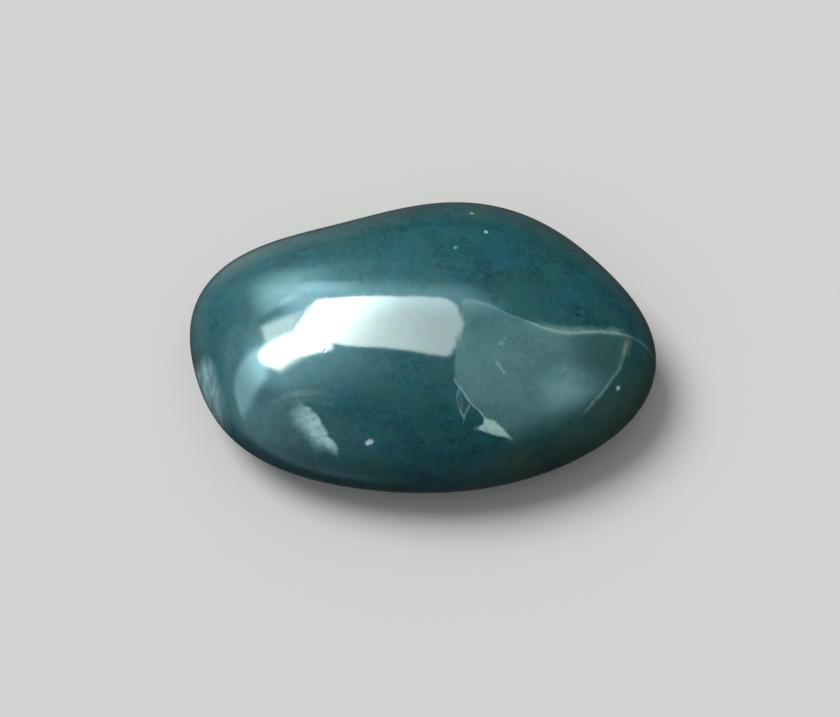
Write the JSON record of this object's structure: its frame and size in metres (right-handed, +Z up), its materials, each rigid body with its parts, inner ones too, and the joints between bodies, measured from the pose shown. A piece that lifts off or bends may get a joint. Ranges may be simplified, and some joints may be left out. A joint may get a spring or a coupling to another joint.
{
  "type": "agate gemstone",
  "caption": "Polished oval agate with an uneven domed top, a rounded lower edge and a flat base to rest on.",
  "frame": {"origin": "centre of the bounding box's bottom face, which is the flat base that the stone rests on", "axes": "+Z up through the dome, +X along the stone's length towards its blunter end, +Y across its width"},
  "size_m": [0.025, 0.016, 0.009],
  "materials": {
    "stone": "polished dark blue-green chalcedony with fine pale veins"
  },
  "bodies": {
    "root": {"agate_stone": "stone"}
  },
  "joints": []
}
